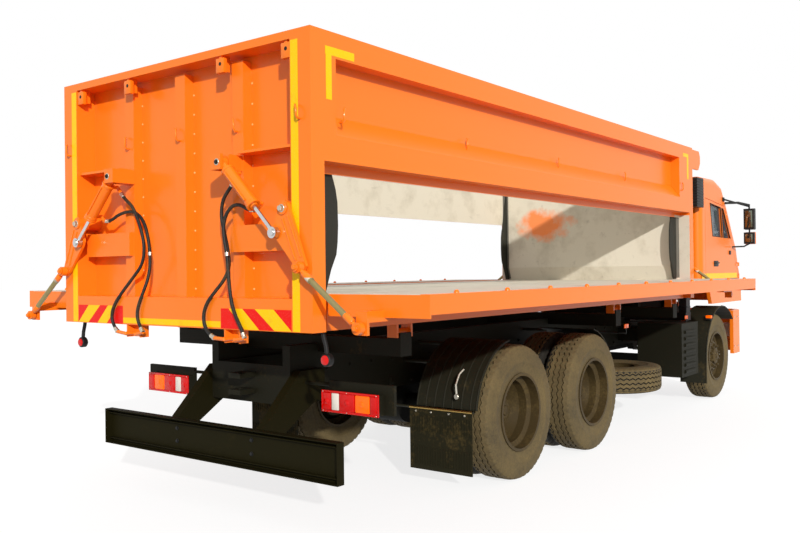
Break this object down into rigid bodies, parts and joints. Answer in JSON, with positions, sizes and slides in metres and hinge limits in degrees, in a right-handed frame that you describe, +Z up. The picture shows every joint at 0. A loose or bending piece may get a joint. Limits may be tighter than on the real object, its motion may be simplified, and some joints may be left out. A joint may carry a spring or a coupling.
{
  "type": "dump truck",
  "caption": "Three-axle cab-over dump truck: bed tips sideways over a pin row, side boards fold down on rocker linkages, cab tilts, doors open, wheels roll and steer.",
  "frame": {"origin": "on the ground and the centre plane, midway between the linkage brackets behind the bed and the bumper's face", "axes": "+X forward along the truck, +Y to its left, +Z up"},
  "size_m": [8.72, 3.92, 3.015],
  "materials": {
    "orange_paint": "semi-gloss, dusty",
    "chassis_paint": "matt, dusty",
    "rim_paint": "matt, dusty",
    "tyre": "matt, dusty",
    "black_plastic": "matt",
    "glass": "clear",
    "cab_lining": "matt",
    "lamp_plastic": "gloss",
    "headlamp_plastic": "gloss",
    "engine_iron": "matt",
    "spring_steel": "matt",
    "chrome": "polished",
    "tank_metal": "satin",
    "hose_rubber": "matt",
    "mudflap_rubber": "matt"
  },
  "bodies": {
    "chassis": {"chassis_frame": "chassis_paint", "subframe": "chassis_paint", "axles": "chassis_paint", "leaf_springs": "spring_steel", "engine": "engine_iron", "fuel_tank": "tank_metal", "side_boxes": "chassis_paint", "spare_wheel": "tyre", "rear_mudguards": "black_plastic", "rear_mudflaps": "mudflap_rubber", "underrun_guard": "chassis_paint", "tail_lamps": "lamp_plastic", "headlamps": "headlamp_plastic", "front_bumper": "orange_paint", "front_mudguards": "black_plastic", "air_intake": "black_plastic"},
    "knuckle_left": {"knuckle_left": "chassis_paint"},
    "wheel_front_left": {"tyre_front_left": "tyre", "rim_front_left": "rim_paint"},
    "knuckle_right": {"knuckle_right": "chassis_paint"},
    "wheel_front_right": {"tyre_front_right": "tyre", "rim_front_right": "rim_paint"},
    "wheels_mid_left": {"tyres_mid_left": "tyre", "rims_mid_left": "rim_paint"},
    "wheels_mid_right": {"tyres_mid_right": "tyre", "rims_mid_right": "rim_paint"},
    "wheels_rear_left": {"tyres_rear_left": "tyre", "rims_rear_left": "rim_paint"},
    "wheels_rear_right": {"tyres_rear_right": "tyre", "rims_rear_right": "rim_paint"},
    "cab": {"cab_shell": "orange_paint", "cab_glass": "glass", "cab_interior": "cab_lining", "mirrors": "black_plastic"},
    "door_left": {"door_left": "orange_paint", "door_glass_left": "glass"},
    "door_right": {"door_right": "orange_paint", "door_glass_right": "glass"},
    "bed": {"bed_floor": "orange_paint", "bed_rear_wall": "orange_paint", "bed_front_wall": "orange_paint", "bed_side_panels": "orange_paint", "hydraulic_hoses": "hose_rubber"},
    "side_board_left": {"side_board_left": "orange_paint"},
    "side_board_right": {"side_board_right": "orange_paint"},
    "lever_rear_left": {"lever_rear_left": "orange_paint"},
    "link_rear_left": {"link_rear_left": "chassis_paint"},
    "lever_front_left": {"lever_front_left": "orange_paint"},
    "link_front_left": {"link_front_left": "chassis_paint"},
    "cylinder_left": {"cylinder_left": "orange_paint"},
    "piston_rod_left": {"piston_rod_left": "chrome"},
    "lever_rear_right": {"lever_rear_right": "orange_paint"},
    "link_rear_right": {"link_rear_right": "chassis_paint"},
    "lever_front_right": {"lever_front_right": "orange_paint"},
    "link_front_right": {"link_front_right": "chassis_paint"},
    "cylinder_right": {"cylinder_right": "orange_paint"},
    "piston_rod_right": {"piston_rod_right": "chrome"},
    "hoist_barrel": {"hoist_barrel": "chassis_paint"},
    "hoist_stage": {"hoist_stage": "chrome"},
    "hoist_rod": {"hoist_rod": "chrome"}
  },
  "joints": [
    {"name": "steer_left", "type": "hinge", "parent": "chassis", "child": "knuckle_left", "pos_m": [3.166, 0.86, 0.525], "axis": [0, 0, 1], "range_deg": [-38, 38]},
    {"name": "spin_front_left", "type": "hinge", "parent": "knuckle_left", "child": "wheel_front_left", "pos_m": [3.166, 1.03, 0.525], "axis": [0, 1, 0], "continuous": true},
    {"name": "steer_right", "type": "hinge", "parent": "chassis", "child": "knuckle_right", "pos_m": [3.166, -0.86, 0.525], "axis": [0, 0, 1], "range_deg": [-38, 38]},
    {"name": "spin_front_right", "type": "hinge", "parent": "knuckle_right", "child": "wheel_front_right", "pos_m": [3.166, -1.03, 0.525], "axis": [0, 1, 0], "continuous": true},
    {"name": "spin_mid_left", "type": "hinge", "parent": "chassis", "child": "wheels_mid_left", "pos_m": [-0.585, 0.942, 0.525], "axis": [0, 1, 0], "continuous": true},
    {"name": "spin_mid_right", "type": "hinge", "parent": "chassis", "child": "wheels_mid_right", "pos_m": [-0.585, -0.942, 0.525], "axis": [0, 1, 0], "continuous": true},
    {"name": "spin_rear_left", "type": "hinge", "parent": "chassis", "child": "wheels_rear_left", "pos_m": [-1.909, 0.942, 0.525], "axis": [0, 1, 0], "continuous": true},
    {"name": "spin_rear_right", "type": "hinge", "parent": "chassis", "child": "wheels_rear_right", "pos_m": [-1.909, -0.942, 0.525], "axis": [0, 1, 0], "continuous": true},
    {"name": "cab_tilt", "type": "hinge", "parent": "chassis", "child": "cab", "pos_m": [4.07, 0, 1.12], "axis": [0, 1, 0], "range_deg": [0, 50]},
    {"name": "door_left_swing", "type": "hinge", "parent": "cab", "child": "door_left", "pos_m": [4.021, 1.2, 1.6], "axis": [0, 0, -1], "range_deg": [0, 75]},
    {"name": "door_right_swing", "type": "hinge", "parent": "cab", "child": "door_right", "pos_m": [4.021, -1.2, 1.6], "axis": [0, 0, 1], "range_deg": [0, 75]},
    {"name": "bed_tip", "type": "hinge", "parent": "chassis", "child": "bed", "pos_m": [0, -1.08, 1.225], "axis": [1, 0, 0], "range_deg": [0, 50]},
    {"name": "board_left_fold", "type": "hinge", "parent": "bed", "child": "side_board_left", "pos_m": [-1.07, 1.225, 1.468], "axis": [1, 0, 0], "range_deg": [0, 90]},
    {"name": "board_right_fold", "type": "hinge", "parent": "bed", "child": "side_board_right", "pos_m": [-1.07, -1.225, 1.468], "axis": [-1, 0, 0], "range_deg": [0, 90]},
    {"name": "lever_rear_left_turn", "type": "hinge", "parent": "bed", "child": "lever_rear_left", "pos_m": [-4.28, 1.04, 1.997], "axis": [1, 0, 0], "range_deg": [-54.2, 0]},
    {"name": "link_rear_left_turn", "type": "hinge", "parent": "lever_rear_left", "child": "link_rear_left", "pos_m": [-4.316, 1.183, 1.657], "axis": [1, 0, 0], "range_deg": [0, 110.4]},
    {"name": "lever_front_left_turn", "type": "hinge", "parent": "bed", "child": "lever_front_left", "pos_m": [2.135, 1.04, 1.997], "axis": [1, 0, 0], "range_deg": [-54.2, 0]},
    {"name": "link_front_left_turn", "type": "hinge", "parent": "lever_front_left", "child": "link_front_left", "pos_m": [2.171, 1.183, 1.657], "axis": [1, 0, 0], "range_deg": [0, 110.4]},
    {"name": "cylinder_left_turn", "type": "hinge", "parent": "bed", "child": "cylinder_left", "pos_m": [-4.316, 0.56, 2.297], "axis": [1, 0, 0], "range_deg": [0, 0.08]},
    {"name": "piston_rod_left_slide", "type": "slide", "parent": "cylinder_left", "child": "piston_rod_left", "axis": [0, 0.7039, -0.7103], "range_m": [-0.1325, 0]},
    {"name": "lever_rear_right_turn", "type": "hinge", "parent": "bed", "child": "lever_rear_right", "pos_m": [-4.28, -1.04, 1.997], "axis": [-1, 0, 0], "range_deg": [-54.2, 0]},
    {"name": "link_rear_right_turn", "type": "hinge", "parent": "lever_rear_right", "child": "link_rear_right", "pos_m": [-4.316, -1.183, 1.657], "axis": [-1, 0, 0], "range_deg": [0, 110.4]},
    {"name": "lever_front_right_turn", "type": "hinge", "parent": "bed", "child": "lever_front_right", "pos_m": [2.135, -1.04, 1.997], "axis": [-1, 0, 0], "range_deg": [-54.2, 0]},
    {"name": "link_front_right_turn", "type": "hinge", "parent": "lever_front_right", "child": "link_front_right", "pos_m": [2.171, -1.183, 1.657], "axis": [-1, 0, 0], "range_deg": [0, 110.4]},
    {"name": "cylinder_right_turn", "type": "hinge", "parent": "bed", "child": "cylinder_right", "pos_m": [-4.316, -0.56, 2.297], "axis": [-1, 0, 0], "range_deg": [0, 0.08]},
    {"name": "piston_rod_right_slide", "type": "slide", "parent": "cylinder_right", "child": "piston_rod_right", "axis": [0, -0.7039, -0.7103], "range_m": [-0.1325, 0]},
    {"name": "hoist_tilt", "type": "hinge", "parent": "chassis", "child": "hoist_barrel", "pos_m": [0.6, 0, 0.64], "axis": [1, 0, 0], "range_deg": [0, 14.85]},
    {"name": "hoist_stage_slide", "type": "slide", "parent": "hoist_barrel", "child": "hoist_stage", "axis": [0, 0, 1], "range_m": [0, 0.4455]},
    {"name": "hoist_rod_slide", "type": "slide", "parent": "hoist_stage", "child": "hoist_rod", "axis": [0, 0, 1], "range_m": [0, 0.4455]}
  ],
  "couplings": [
    {"joint": "steer_right", "follows": "steer_left", "ratio": 1},
    {"joint": "hoist_tilt", "follows": "bed_tip", "ratio": 0.296},
    {"joint": "hoist_stage_slide", "follows": "bed_tip", "m_per_rad": 0.51},
    {"joint": "hoist_rod_slide", "follows": "bed_tip", "m_per_rad": 0.51},
    {"joint": "lever_rear_left_turn", "follows": "board_left_fold", "ratio": -0.60183},
    {"joint": "link_rear_left_turn", "follows": "board_left_fold", "ratio": 1.226},
    {"joint": "lever_front_left_turn", "follows": "board_left_fold", "ratio": -0.60183},
    {"joint": "link_front_left_turn", "follows": "board_left_fold", "ratio": 1.226},
    {"joint": "cylinder_left_turn", "follows": "board_left_fold", "ratio": 0.00078},
    {"joint": "piston_rod_left_slide", "follows": "board_left_fold", "m_per_rad": -0.08429},
    {"joint": "lever_rear_right_turn", "follows": "board_right_fold", "ratio": -0.60183},
    {"joint": "link_rear_right_turn", "follows": "board_right_fold", "ratio": 1.226},
    {"joint": "lever_front_right_turn", "follows": "board_right_fold", "ratio": -0.60183},
    {"joint": "link_front_right_turn", "follows": "board_right_fold", "ratio": 1.226},
    {"joint": "cylinder_right_turn", "follows": "board_right_fold", "ratio": 0.00078},
    {"joint": "piston_rod_right_slide", "follows": "board_right_fold", "m_per_rad": -0.08429}
  ]
}
